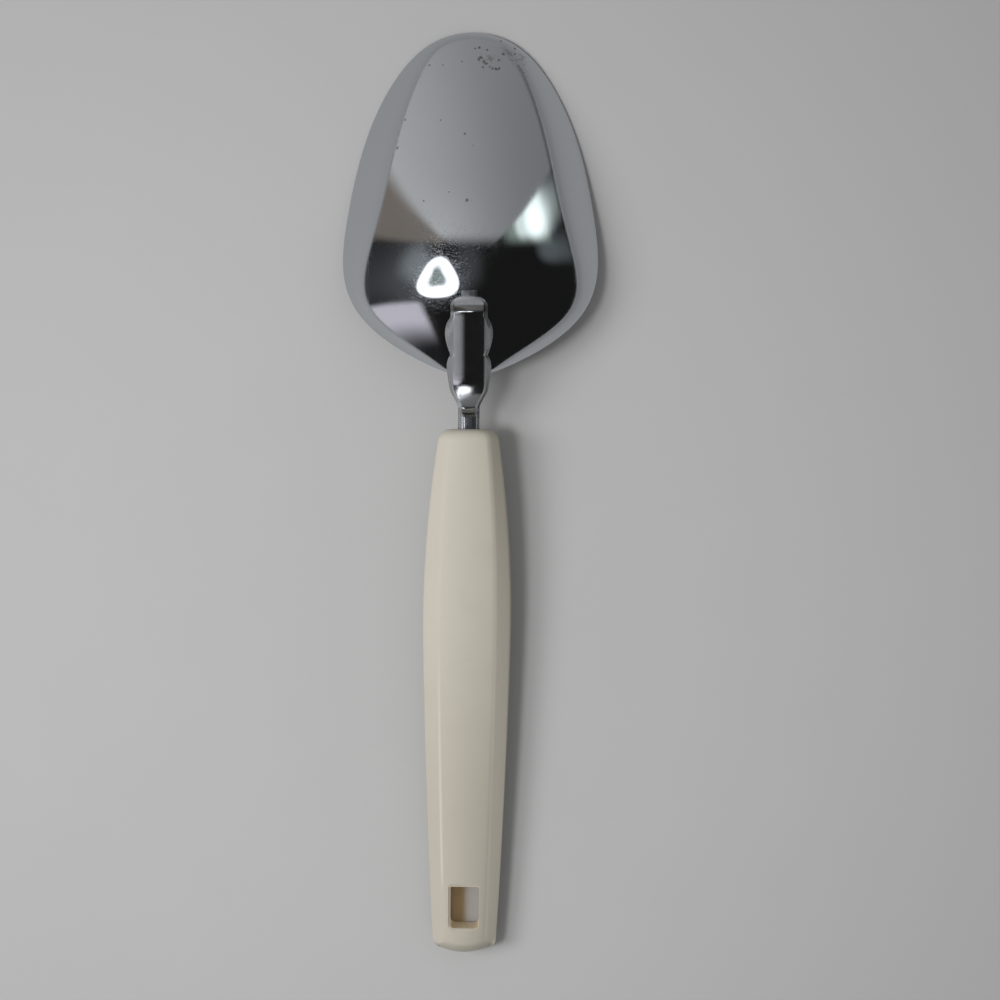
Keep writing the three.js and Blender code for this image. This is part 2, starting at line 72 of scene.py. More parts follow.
# %% Sums on sockets
class Wire:
    """One output socket of a node tree."""

    def __init__(self, tree, socket=None):
        self.tree = tree
        self.socket = socket

    def node(self, kind, settings=None, inputs=None, output=0):
        """Adds a node: its settings first, then the values or links of its sockets."""
        made = self.tree.nodes.new(kind)
        for name, value in (settings or {}).items():
            setattr(made, name, value)
        for key, value in (inputs or {}).items():
            if isinstance(value, Wire):
                self.tree.links.new(value.socket, made.inputs[key])
            else:
                made.inputs[key].default_value = value
        return Wire(self.tree, made.outputs[output] if made.outputs else None)

    def math(self, operation, *others):
        return self.node("ShaderNodeMath", {"operation": operation}, dict(enumerate((self, *others))))

    def after(self, operation, first):
        """The same with a plain number first, for the reflected operators."""
        return self.node("ShaderNodeMath", {"operation": operation}, {0: first, 1: self})

    def __add__(self, other):
        return self.math("ADD", other)

    def __radd__(self, other):
        return self.after("ADD", other)

    def __sub__(self, other):
        return self.math("SUBTRACT", other)

    def __rsub__(self, other):
        return self.after("SUBTRACT", other)

    def __mul__(self, other):
        return self.math("MULTIPLY", other)

    def __rmul__(self, other):
        return self.after("MULTIPLY", other)

    def __truediv__(self, other):
        return self.math("DIVIDE", other)

    def __rtruediv__(self, other):
        return self.after("DIVIDE", other)

    def __pow__(self, power):
        return self.math("POWER", power)

    def clamped(self):
        return self.math("MAXIMUM", 0).math("MINIMUM", 1)

    def smooth(self, low, high):
        """Rises smoothly from 0 at low to 1 at high; with low above high it falls."""
        inputs = {"Value": self, "From Min": low, "From Max": high}
        return self.node("ShaderNodeMapRange", {"interpolation_type": "SMOOTHSTEP"}, inputs)

    def mix(self, under, over):
        """The colour under where this mask is 0, and the colour over where it is 1."""
        settings = {"data_type": "RGBA"}
        return self.node("ShaderNodeMix", settings, {0: self, 6: under, 7: over}, output=2)

    def parts(self):
        """The X, Y and Z of a vector."""
        split = self.node("ShaderNodeSeparateXYZ", inputs={0: self}).socket.node
        return [Wire(self.tree, socket) for socket in split.outputs]

    def vector(self, operation, other, output=0):
        return self.node("ShaderNodeVectorMath", {"operation": operation}, {0: self, 1: other}, output)

    def noise(self, scale, detail=2):
        """Soft random patches on this vector, about 1/scale metres across."""
        inputs = {"Vector": self, "Scale": scale, "Detail": detail}
        return self.node("ShaderNodeTexNoise", inputs=inputs)

    def bump(self):
        """The normal of a surface that is raised by this height in metres."""
        return self.node("ShaderNodeBump", inputs={"Strength": 1.0, "Distance": 1.0, "Height": self})


def new_material(name):
    """An empty material, and a wire to start its nodes from."""
    material = bpy.data.materials.new(name)
    material.use_nodes = True
    material.node_tree.nodes.clear()
    return material, Wire(material.node_tree)


def finish_surface(start, **sockets):
    """Ends a material in one Principled shader, whose sockets are named with underscores."""
    inputs = {name.replace("_", " ").title(): value for name, value in sockets.items()}
    surface = start.node("ShaderNodeBsdfPrincipled", inputs=inputs)
    start.node("ShaderNodeOutputMaterial", inputs={"Surface": surface})


def grey(level):
    return (level, level, level, 1)


print("Wires are ready")

# %% [markdown]
# ## The camera
# The scoop is seen from almost straight above, a little turned, by a camera well away from it. The camera
# is set up from the width of table that the picture takes in, so that the scene and the picture line up.

# %% The camera
VIEW = SimpleNamespace(
    width=0.2934,
    at_height=0.008,
    height=0.700,
    right=0.0093,
    down=0.0028,
    roll=math.radians(0.52),
    sensor=36.0,
)


def place_camera():
    data = bpy.data.cameras.new("camera")
    data.sensor_width = VIEW.sensor
    data.lens = VIEW.sensor * (VIEW.height - VIEW.at_height) / VIEW.width
    camera = bpy.data.objects.new("camera", data)
    middle = Matrix.Rotation(VIEW.roll, 3, "Z") @ Vector((VIEW.right, -VIEW.down, 0))
    camera.location = (middle.x, middle.y, VIEW.height)
    camera.rotation_euler = (0, 0, VIEW.roll)
    bpy.context.scene.collection.objects.link(camera)
    bpy.context.scene.camera = camera
    return camera


camera = place_camera()
print("Camera lens in millimetres:", round(camera.data.lens, 1))

# %% [markdown]
# ## The shape of the bowl
# A bowl like this is pressed from a flat sheet. Its outline is an egg with a blunt tip and a more pointed
# heel: an ellipse in angle whose width carries a few terms. From the middle out to the rim the back falls
# as a parabola does, with a flatter crown towards the heel. "Run" is the distance back from the tip. These
# formulas take plain numbers or wires, so the shank can follow the same surface that the bowl's node tree
# makes.

# %% The shape of the bowl
BOWL = SimpleNamespace(
    length=0.1030,
    half_width=0.03595,
    tip_taper=0.00887,
    end_fullness=0.01112,
    heel_shoulder=0.00241,
    heel_point=0.0307,
    depth=0.0238,
    heel_deepening=0.00675,
    end_deepening=0.0029,
    tip_deepening=0.007,
    crown_flatness=0.14,
    heel_fullness=0.27,
    wall=0.0010,
    rim_touch=0.020,
    heel_lift=0.0148,
)
SLOPE_STEP = 0.0002


def length_cosine(run, bowl):
    return 1 - 2 * run / bowl.length


def egg_width(cosine, bowl):
    point = bowl.heel_point * (cosine**4 - cosine**5) / 2
    blunt = bowl.end_fullness * cosine**2 - bowl.heel_shoulder * cosine**3
    return bowl.half_width - bowl.tip_taper * cosine + blunt - point


def rim_lift(run, bowl):
    return bowl.heel_lift * ((run - bowl.rim_touch) / (bowl.length - bowl.rim_touch)) ** 2


def depth_at(cosine, bowl):
    ends = bowl.end_deepening * cosine**2 + bowl.tip_deepening * cosine**3
    return bowl.depth - bowl.heel_deepening * cosine + ends


def back_shape(run, x, bowl):
    """Height of the back of the bowl above the place where its rim touches the table."""
    cosine = length_cosine(run, bowl)
    outward = cosine**2 + (x / egg_width(cosine, bowl)) ** 2
    fullness = bowl.crown_flatness - bowl.heel_fullness * cosine
    rise = depth_at(cosine, bowl) * (1 - outward)
    return rim_lift(run, bowl) + rise * (1 + fullness * (outward - 0.5))


def back_slopes(run, x, bowl):
    """The surface's slope across the bowl and along its run."""
    across = back_shape(run, x + SLOPE_STEP, bowl) - back_shape(run, x - SLOPE_STEP, bowl)
    along = back_shape(run + SLOPE_STEP, x, bowl) - back_shape(run - SLOPE_STEP, x, bowl)
    return across / (2 * SLOPE_STEP), along / (2 * SLOPE_STEP)


def rim_underside(angle):
    """Height of the rim's inner edge, which is what touches the table."""
    run = BOWL.length * (1 - math.cos(angle)) / 2
    x = math.sin(angle) * egg_width(math.cos(angle), BOWL)
    across, along = back_slopes(run, x, BOWL)
    return back_shape(run, x, BOWL) - BOWL.wall / math.sqrt(1 + across**2 + along**2)


TABLE = min(rim_underside(math.radians(degree)) for degree in range(360))
TIP_Y = cad_box[1][1]


def back_height(run, x):
    return back_shape(run, x, BOWL) - TABLE


print("Crown of the bowl above the table, in metres:", round(back_height(BOWL.length / 2, 0), 4))

# %% [markdown]
# ## The bowl as a node tree
# A grid is bent into the whole shell: one direction of the grid runs round the bowl, and the other runs
# from the middle of the back out to the rim, round the rim's edge and back to the middle of the hollow
# side. The sheet could also be a surface with a Solidify modifier, but then the rim would have two square
# edges. Here the rim is a true half round, as a pressed and polished edge is. The sizes are the tree's
# inputs.

# %% The bowl as a node tree
AROUND = 192
BACK_ROWS = 64
EDGE_ROWS = 8
EDGE_STARTS = 0.994  # share of the way to the rim at which the half-round edge begins
MERGE_DISTANCE = 2e-6


def shell_position(start, bowl):
    """Where a point of a flat unit grid goes on the shell."""
    across, outward, _ = start.node("GeometryNodeInputPosition").parts()
    rows = 2 * BACK_ROWS + EDGE_ROWS
    edge_from = BACK_ROWS / rows
    edge_to = (BACK_ROWS + EDGE_ROWS) / rows
    angle = (across + 0.5) * (2 * math.pi)
    way = outward + 0.5
    share = (way / edge_from).clamped() * ((1 - way) / (1 - edge_to)).clamped() * EDGE_STARTS
    turn = ((way - edge_from) / (edge_to - edge_from)).clamped() * math.pi
    cosine = angle.math("COSINE")
    rim_run = bowl.length * (1 - cosine) / 2 - bowl.length / 2
    rim_x = angle.math("SINE") * egg_width(cosine, bowl)
    run = bowl.length / 2 + share * rim_run
    x = share * rim_x
    slope_x, slope_run = back_slopes(run, x, bowl)
    steep = (1 + slope_x**2 + slope_run**2) ** 0.5
    rise = slope_x * rim_x + slope_run * rim_run
    reach = (rim_x**2 + rim_run**2 + rise**2) ** 0.5
    depth = bowl.wall / 2 * (1 - turn.math("COSINE")) / steep
    bulge = bowl.wall / 2 * turn.math("SINE") / reach
    height = back_shape(run, x, bowl) - TABLE
    corners = {
        "X": x + slope_x * depth + rim_x * bulge,
        "Y": TIP_Y - run - slope_run * depth - rim_run * bulge,
        "Z": height - depth + rise * bulge,
    }
    return start.node("ShaderNodeCombineXYZ", inputs=corners)


def bowl_tree(material):
    """A node tree that makes the shell, and the identifiers of its inputs."""
    tree = bpy.data.node_groups.new("egg_bowl", "GeometryNodeTree")
    tree.interface.new_socket("Shell", in_out="OUTPUT", socket_type="NodeSocketGeometry")
    identifiers = {}
    for name, size in vars(BOWL).items():
        socket = tree.interface.new_socket(name, in_out="INPUT", socket_type="NodeSocketFloat")
        socket.default_value = size
        identifiers[name] = socket.identifier
    start = Wire(tree)
    entry = start.node("NodeGroupInput").socket.node
    sizes = SimpleNamespace(**{name: Wire(tree, entry.outputs[name]) for name in identifiers})
    counts = {"Vertices X": AROUND + 1, "Vertices Y": 2 * BACK_ROWS + EDGE_ROWS + 1}
    sheet = start.node("GeometryNodeMeshGrid", inputs={"Size X": 1, "Size Y": 1, **counts})
    bent = {"Geometry": sheet, "Position": shell_position(start, sizes)}
    shell = start.node("GeometryNodeSetPosition", inputs=bent)
    shell = start.node("GeometryNodeMergeByDistance", inputs={"Geometry": shell, "Distance": MERGE_DISTANCE})
    shell = start.node("GeometryNodeSetShadeSmooth", inputs={"Geometry": shell})
    shell = start.node("GeometryNodeRealizeInstances", inputs={"Geometry": shell})
    shell = start.node("GeometryNodeSetMaterial", inputs={"Geometry": shell, "Material": material})
    start.node("NodeGroupOutput", inputs={"Shell": shell})
    return tree, identifiers


def plain_mesh(piece):
    """Turns what a piece's modifiers make into its own mesh, and removes the modifiers."""
    evaluated = piece.evaluated_get(bpy.context.evaluated_depsgraph_get())
    mesh = bpy.data.meshes.new_from_object(evaluated)
    piece.modifiers.clear()
    piece.data = mesh
    mesh.name = piece.name
    return piece


def new_piece(name, mesh):
    piece = bpy.data.objects.new(name, mesh)
    bpy.context.scene.collection.objects.link(piece)
    return piece


def make_bowl(material):
    tree, identifiers = bowl_tree(material)
    piece = new_piece("bowl_shell", bpy.data.meshes.new("bowl_seed"))
    modifier = piece.modifiers.new("shape", "NODES")
    modifier.node_group = tree
    for name, identifier in identifiers.items():
        modifier[identifier] = getattr(BOWL, name)
    return plain_mesh(piece)


print("The bowl's grid has", AROUND, "strips")

# %% [markdown]
# ## Bright plating
# The steel is nickel or chrome plated: a slightly blue mirror that gives back about three fifths of the
# light. Years of use leave a faint haze, hairline scratches, fine dents round one side of the heel and,
# near the tip, pits where rust has come through. The mirror itself needs almost no nodes. What makes it
# look real is the small damage, so the haze goes into the roughness, the hairlines and dents into a bump,
# and the pits into colour, roughness and metalness together.

# %% Bright plating
PLATING = (0.55, 0.572, 0.605, 1)
RUST = (0.085, 0.08, 0.07, 1)
PITS_MM = [
    (0.9, 5.7, 0.45), (2.1, 5.5, 0.6), (4.4, 6.1, 0.5), (2.7, 8.8, 0.8), (2.0, 9.4, 0.7),
    (3.2, 12.0, 0.5), (3.5, 9.9, 0.8), (4.2, 10.8, 0.7), (5.2, 11.7, 0.5), (6.0, 12.2, 0.6),
    (7.0, 12.3, 0.6), (8.0, 12.1, 0.55), (9.1, 7.2, 0.6), (7.9, 9.2, 0.5), (11.7, 9.0, 0.3),
    (12.5, 5.1, 0.5), (12.5, 6.8, 0.3), (15.0, 12.8, 0.4), (8.4, 2.9, 0.5),
    (-12.6, 10.8, 0.35), (-8.5, 11.0, 0.35), (-2.9, 10.0, 0.4), (-8.8, 28.6, 0.35), (-1.7, 32.9, 0.5),
    (-19.4, 27.6, 0.4), (-21.6, 36.2, 0.45), (-0.8, 52.9, 0.6), (-6.1, 50.3, 0.3), (-13.4, 52.8, 0.3),
]
SMEARS_MM = [(5.0, 9.5, 5.5), (13.5, 8.5, 3.0), (1.0, 36.5, 1.2), (0.5, 52.5, 1.0)]
MILLIMETRE = 0.001
WORN_CENTRE = (-0.0097, TIP_Y - 0.072, 0)
WORN_FADES = (0.026, 0.010)
HAIRLINE_ANGLES = (0.35, 1.25, 2.3)
HAIRLINE_SPACING = 0.0004
HAIRLINE_LENGTH = 0.012
HAIRLINE_DEPTH = 0.0000015
DENT_DEPTH = 0.000006
PIT_DEPTH = 0.00006


def nearest(plan, spots):
    """How far inside the nearest of some round spots a point lies: 1 at a centre, 0 at an edge."""
    deepest = None
    for x, run, radius in spots:
        centre = (x * MILLIMETRE, TIP_Y - run * MILLIMETRE, 0)
        inside = 1 - plan.vector("DISTANCE", centre, output="Value") / (radius * MILLIMETRE)
        deepest = inside if deepest is None else deepest.math("MAXIMUM", inside)
    return deepest


def hairlines(position):
    """Thin straight scratches in a few directions, as a mask."""
    lines = None
    scale = (1 / HAIRLINE_SPACING, 1 / HAIRLINE_LENGTH, 1 / HAIRLINE_LENGTH)
    for angle in HAIRLINE_ANGLES:
        stretched = {"Vector": position, "Rotation": (0, 0, angle), "Scale": scale}
        turned = position.node("ShaderNodeMapping", inputs=stretched)
        line = turned.noise(1, detail=1).smooth(0.68, 0.76)
        lines = line if lines is None else lines.math("MAXIMUM", line)
    return lines


def bowl_plating():
    material, start = new_material("bowl_plating")
    position = start.node("ShaderNodeTexCoord", output="Object")
    plan = position.vector("MULTIPLY", (1, 1, 0))
    ragged = position.noise(900, detail=3) - 0.5
    pitted = (nearest(plan, PITS_MM) + ragged * 1.8).smooth(-0.2, 0.6) * 0.95
    smeared = nearest(plan, SMEARS_MM).clamped() * position.noise(650, detail=4).smooth(0.42, 0.62)
    pitted = pitted.math("MAXIMUM", smeared * 0.8)
    haze = position.noise(45, detail=4).smooth(0.35, 0.75)
    worn = plan.vector("DISTANCE", WORN_CENTRE, output="Value").smooth(*WORN_FADES)
    dents = position.noise(3500, detail=1).smooth(0.60, 0.74) * (0.15 + worn * 0.85)
    height = dents * -DENT_DEPTH - hairlines(position) * HAIRLINE_DEPTH - pitted * PIT_DEPTH
    finish_surface(
        start,
        base_color=pitted.mix(PLATING, RUST),
        metallic=1 - pitted * 0.8,
        roughness=0.04 + haze * 0.03 + pitted * 0.5,
        normal=height.bump(),
    )
    return material


bowl = make_bowl(bowl_plating())
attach(bowl, "root")
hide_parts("bowl")
print("Bowl faces:", len(bowl.data.polygons))

# %% [markdown]
# ## The shape of the shank
# The shank is one strip of sheet steel. A tab in front leads up a short slope to the level cap of a raised
# rib. Two ears on each side slope down to the back of the bowl and carry the welds. Past the heel the rib
# bends level, ends in a steep half-round face, and the strip goes on as a narrow neck and a tang inside the
# handle. The rib was pressed with a slight lean to one side.

# %% Sizes of the shank
SHANK = SimpleNamespace(
    sheet=0.0010,
    lap=0.0241,
    tab_length=0.0018,
    tab_half_width=0.0023,
    nose_slope=0.0025,
    cap_length=0.0020,
    rib_half_width=0.0048,
    rib_rise=0.00495,
    rib_arch=0.0008,
    neck_flatness=0.6,
    rib_skirt=0.0005,
    crest_rounding=0.00015,
    bend_past_heel=0.0018,
    knee_rise=0.0030,
    knee_rounding=0.0008,
    knee_past_heel=0.0034,
    knee_to_rib_end=0.0057,
    rib_end_drop=0.0011,
    lean=0.15,
    cap_rise=0.0002,
    step_length=0.0026,
    neck_length=0.0032,
    neck_height=0.0022,
    neck_rib_half_width=0.0025,
    neck_skirt=0.00065,
    tang_length=0.050,
    weld_gap=0.0006,
)
EARS = SimpleNamespace(
    front_reach=0.0016,
    rear_reach=0.00115,
    from_crest=0.0013,
    notch=0.0059,
    past_knee=0.0014,
    front_skew=0.77,
    rear_skew=0.58,
)
HANDLE = SimpleNamespace(
    length=0.1537,
    thickness=0.0105,
    axis_below_heel=0.0035,
    end_bevel=0.0027,
)

TAB_RUN = BOWL.length - SHANK.lap
NOSE_RUN = TAB_RUN + SHANK.tab_length
CAP_RUN = NOSE_RUN + SHANK.nose_slope
CREST_RUN = CAP_RUN + SHANK.cap_length
FRONT_EAR_RUN = CREST_RUN + EARS.from_crest
NOTCH_RUN = BOWL.length - EARS.notch
BEND_RUN = BOWL.length + SHANK.bend_past_heel
KNEE_RUN = BOWL.length + SHANK.knee_past_heel
REAR_EAR_RUN = KNEE_RUN + EARS.past_knee
NECK_RUN = KNEE_RUN + SHANK.knee_to_rib_end
STEP_RUN = NECK_RUN + SHANK.step_length
HANDLE_RUN = STEP_RUN + SHANK.neck_length
HEEL_HEIGHT = back_height(BOWL.length, 0)
AXIS_FRONT_HEIGHT = HEEL_HEIGHT - HANDLE.axis_below_heel
REST_REACH = HANDLE.length - HANDLE.end_bevel
TILT = math.asin(AXIS_FRONT_HEIGHT / math.hypot(REST_REACH, HANDLE.thickness / 2)) - math.atan2(
    HANDLE.thickness / 2, REST_REACH
)
TANG_END_RUN = HANDLE_RUN + SHANK.tang_length * math.cos(TILT)
print("The handle tilts by", round(math.degrees(TILT), 2), "degrees")

# %% Rules of the shank
def lerp(a, b, share):
    return a + (b - a) * share


def clamp(value):
    return min(max(value, 0), 1)


def ease(value, low, high):
    share = clamp((value - low) / (high - low))
    return share * share * (3 - 2 * share)


def soft_max(a, b, rounding):
    """The larger of two values, with the crease between them rounded off."""
    return (a + b + math.hypot(a - b, rounding)) / 2


def neck_underside(run):
    return AXIS_FRONT_HEIGHT - (run - HANDLE_RUN) * math.tan(TILT) - SHANK.neck_height / 2


def heel_to_neck(run):
    """A cubic that leaves the heel along the back of the bowl and arrives along the handle's axis."""
    span = NECK_RUN - BOWL.length
    share = (run - BOWL.length) / span
    heel_slope = span * back_slopes(BOWL.length, 0, BOWL)[1]
    neck_slope = -span * math.tan(TILT)
    settled = ease(share, 0, 1)
    leaving = share * (1 - share) ** 2 * heel_slope
    arriving = share**2 * (share - 1) * neck_slope
    ends = lerp(HEEL_HEIGHT + SHANK.weld_gap, neck_underside(NECK_RUN), settled)
    return ends + leaving + arriving


def shank_underside(run, x):
    if run <= BOWL.length:
        return back_height(run, x) + SHANK.weld_gap
    if run >= NECK_RUN:
        return neck_underside(run)
    cross_curve = HEEL_HEIGHT - back_height(BOWL.length, x)
    return heel_to_neck(run) - cross_curve * (1 - ease(run, BOWL.length, NECK_RUN))


def ear_lobe(run, low, high, skew):
    return math.sin(math.pi * clamp((run - low) / (high - low)) ** skew)


def strip_half_width(run, tab, rib, neck):
    """Opens from the tab to the rib in a quarter of an ellipse, and narrows from the knee to the neck."""
    share = clamp((run - NOSE_RUN) / SHANK.nose_slope)
    opened = lerp(tab, rib, math.sqrt(1 - (1 - share) ** 2))
    return opened + (neck - rib) * ease(run, KNEE_RUN, NECK_RUN)


def rib_half_width(run):
    tab = SHANK.tab_half_width - SHANK.rib_skirt
    return strip_half_width(run, tab, SHANK.rib_half_width, SHANK.neck_rib_half_width)


def edge_half_width(run):
    rib = SHANK.rib_half_width + SHANK.rib_skirt
    neck = SHANK.neck_rib_half_width + SHANK.neck_skirt
    front_ear = EARS.front_reach * ear_lobe(run, FRONT_EAR_RUN, NOTCH_RUN, EARS.front_skew)
    rear_ear = EARS.rear_reach * ear_lobe(run, NOTCH_RUN, REAR_EAR_RUN, EARS.rear_skew)
    return strip_half_width(run, SHANK.tab_half_width, rib, neck) + front_ear + rear_ear


def rib_crest(run):
    """The crest rises over the cap, falls straight to its bend and droops a little to the rib's end."""
    front = back_height(CREST_RUN, 0) + SHANK.rib_rise
    knee = HEEL_HEIGHT + SHANK.knee_rise
    span = BEND_RUN - CREST_RUN
    to_bend = 1 - soft_max(0, (run - CREST_RUN) / span, SHANK.crest_rounding / span)
    ahead = clamp((CREST_RUN - run) / SHANK.cap_length)
    steep = knee + (front - knee) * to_bend - SHANK.cap_rise * ahead
    past_bend = max((run - BEND_RUN) / (NECK_RUN - BEND_RUN), 0)
    droop = knee - SHANK.rib_end_drop * past_bend**2
    return soft_max(steep, droop, SHANK.knee_rounding)


print("The rib's crest starts at", round(rib_crest(CREST_RUN), 4), "m above the table")

# %% [markdown]
# ## The shank as a loft
# Each cross-section has the same parts in other sizes, so the strip is a loft through sections that follow
# a few rules: the same low arch between the feet of the rib, an ear that slopes from there down to the
# bowl, and a rounded edge. The bends are softened by averaging the height over a short width, as pressed
# sheet has no sharp bend.

# %% The shank as a loft
ACROSS_STEPS = 56
EDGE_STEPS = 6
STATION_STEP = 0.00025
TANG_STEP = 0.004
BEND_SOFTNESS = 0.00022
SKIRT_RUN = 0.00045
NOSE_ROUNDING = 0.0003
END_FACE_HALF_WIDTH = 0.0025
SHARP_ANGLE = math.radians(38)


def nose_share(run):
    """The rib's front is a straight ramp with a tight bend at its foot and at its top."""
    share = (run - NOSE_RUN) / SHANK.nose_slope
    soft = NOSE_ROUNDING / SHANK.nose_slope
    return 1 - soft_max(0, 1 - soft_max(0, share, soft), soft)


def raised_height(run, x, rise, lean):
    """Height of the strip over the back of the bowl: a leaning arch on two feet, and an ear outside each."""
    edge = edge_half_width(run) - SHANK.sheet / 2
    feet = min(rib_half_width(run), edge - SKIRT_RUN)
    inside = min(x, feet)
    arch = SHANK.rib_arch * (1 - SHANK.neck_flatness * ease(run, KNEE_RUN, NECK_RUN))
    below = shank_underside(run, 0) - shank_underside(run, inside)
    height = max(rise + lean * inside - arch * (inside / SHANK.rib_half_width) ** 2 + below, 0)
    return height * min((edge - x) / (edge - feet), 1)


def rib_rise(run):
    return rib_crest(run) - shank_underside(run, 0) - SHANK.sheet


def leaning_height(run, x, side):
    """The rib's height at a distance from its middle, on its left or right side."""
    rise = max(rib_rise(run) * nose_share(run), 0)
    lean = SHANK.lean * side * clamp(rise / SHANK.rib_arch)
    return raised_height(run, x, rise, lean)


def top_height(run, x, side):
    """The rib, and past its end the neck with the half-round sloping face on it."""
    if run <= NECK_RUN:
        return leaning_height(run, x, side)
    share = clamp((run - NECK_RUN) / SHANK.step_length)
    rise = SHANK.neck_height - SHANK.sheet
    neck = raised_height(run, x, rise, 0)
    if x < END_FACE_HALF_WIDTH * math.sqrt(1 - share**2):
        return max(neck, lerp(rib_rise(NECK_RUN), rise, share))
    return neck


def hollow_height(run, x, side):
    """The underside's height, where the hollow of the rib closes quickly past the rib's end."""
    if run <= NECK_RUN:
        return leaning_height(run, x, side)
    closed = clamp(2 * (run - NECK_RUN) / SHANK.step_length)
    return raised_height(run, x, lerp(rib_rise(NECK_RUN), SHANK.neck_height - SHANK.sheet, closed), 0)


def soft_height(rule, run, x):
    """A height averaged over a short width."""
    places = [x + BEND_SOFTNESS * step / 2 for step in (-2, -1, 0, 1, 2)]
    return sum(rule(run, abs(place), 1 if place > 0 else -1) for place in places) / len(places)


def edge_points(x, middle, side):
    """Half a circle round the sheet's edge: top to underside on the right, and back on the left."""
    turns = [math.pi * i / EDGE_STEPS for i in range(1, EDGE_STEPS)]
    half = SHANK.sheet / 2
    return [(side * (x + half * math.sin(turn)), middle + side * half * math.cos(turn)) for turn in turns]


def shank_section(run):
    """A closed loop of points round the strip: over the top from left to right and back underneath."""
    edge = edge_half_width(run) - SHANK.sheet / 2
    across = [lerp(-edge, edge, i / ACROSS_STEPS) for i in range(ACROSS_STEPS + 1)]
    under = [(x, soft_height(hollow_height, run, x)) for x in across]
    over = [(x, SHANK.sheet + soft_height(top_height, run, x)) for x in across]
    right = edge_points(edge, SHANK.sheet / 2 + under[-1][1], 1)
    left = edge_points(edge, SHANK.sheet / 2 + under[0][1], -1)
    loop = over + right + under[::-1] + left
    return [Vector((x, TIP_Y - run, shank_underside(run, x) + height)) for x, height in loop]


def steps_between(low, high, step):
    count = math.ceil((high - low) / step)
    return [lerp(low, high, i / count) for i in range(count)]


def loft(name, rings):
    """A closed smooth mesh through rings of points, with a face over each end."""
    shape = bmesh.new()
    rows = [[shape.verts.new(point) for point in ring] for ring in rings]
    for near, far in zip(rows, rows[1:]):
        for k in range(len(near)):
            shape.faces.new((near[k - 1], near[k], far[k], far[k - 1]))
    for row in (rows[0], rows[-1]):
        shape.faces.new(row)
    bmesh.ops.remove_doubles(shape, verts=shape.verts, dist=MERGE_DISTANCE)
    bmesh.ops.recalc_face_normals(shape, faces=shape.faces)
    for face in shape.faces:
        face.smooth = True
    mesh = bpy.data.meshes.new(name)
    shape.to_mesh(mesh)
    shape.free()
    return mesh


def make_shank():
    runs = steps_between(TAB_RUN, STEP_RUN, STATION_STEP)
    runs += steps_between(STEP_RUN, TANG_END_RUN, TANG_STEP)
    mesh = loft("shank_strip", [shank_section(run) for run in [*runs, TANG_END_RUN]])
    mesh.set_sharp_from_angle(angle=SHARP_ANGLE)
    return new_piece("shank_strip", mesh)


# %% [markdown]
# ## The shank's plating and the welds
# The shank is plated like the bowl but was polished less, so its mirror is a little softer and carries
# faint draw lines along its length. One flank of the rib and its end were hardly polished. The ears, the
# edges and the rib's end are painted darker as painted shade, for the dark reflections they show, and the
# tab is painted darker too. The cap is painted near black as a painted dark reflection. Each of these is a
# mask of the place along and across the strip. The welds lie under the ears: small flat nuggets of bare
# weld metal, dull and mottled by the heat.
# The CAD pieces have the right shape, so they stay and get that finish.

# %% The shank's plating and the welds
SHANK_STEEL = (0.58, 0.595, 0.62, 1)
DARKENED_STEEL = (0.19, 0.195, 0.20, 1)
DARK_REFLECTION_STEEL = (0.10, 0.10, 0.095, 1)
DULL_STEEL = (0.30, 0.31, 0.32, 1)
HEAT_TINT = (0.24, 0.20, 0.16, 1)
FLANK_FADES = (-0.0008, -0.0027)
EDGE_FADE = 0.0006
PAST_RIB_FADE = 0.001
RIB_END_FADES = (0.0011, 0.0022)
CAP_FADES = (-0.0005, 0.0003)
CREST_FADES = (-0.0001, -0.0005)
TAB_FADES = (0.0003, -0.0003)
DRAW_LINES = (1800, 60, 400)
DRAW_LINE_DEPTH = 0.000006
WELD_MOTTLE_DEPTH = 0.00002


def past(y, run, fades):
    """A mask that rises between two distances past a run."""
    return y.smooth(TIP_Y - run - fades[0], TIP_Y - run - fades[1])


def outside(x, half_width):
    """A mask of what lies further from the strip's middle than a half width."""
    return x.math("ABSOLUTE").smooth(half_width - EDGE_FADE, half_width)


def shank_marks(position):
    """Masks of the rib's left flank, the ears and edges, the rib's end, the cap and the tab."""
    x, y, _ = position.parts()
    behind_crest = y.smooth(TIP_Y - CREST_RUN, TIP_Y - FRONT_EAR_RUN)
    flank = x.smooth(*FLANK_FADES) * y.smooth(TIP_Y - BEND_RUN, TIP_Y - BOWL.length) * behind_crest
    past_rib = past(y, NECK_RUN, (-PAST_RIB_FADE, 0))
    neck_edges = outside(x, SHANK.neck_rib_half_width) * past_rib
    edges = outside(x, SHANK.rib_half_width).math("MAXIMUM", neck_edges)
    rib_end = past(y, KNEE_RUN, RIB_END_FADES) * (1 - past_rib)
    cap = past(y, CAP_RUN, CAP_FADES) * past(y, CREST_RUN, CREST_FADES)
    return flank, edges, rib_end, cap, past(y, NOSE_RUN, TAB_FADES)


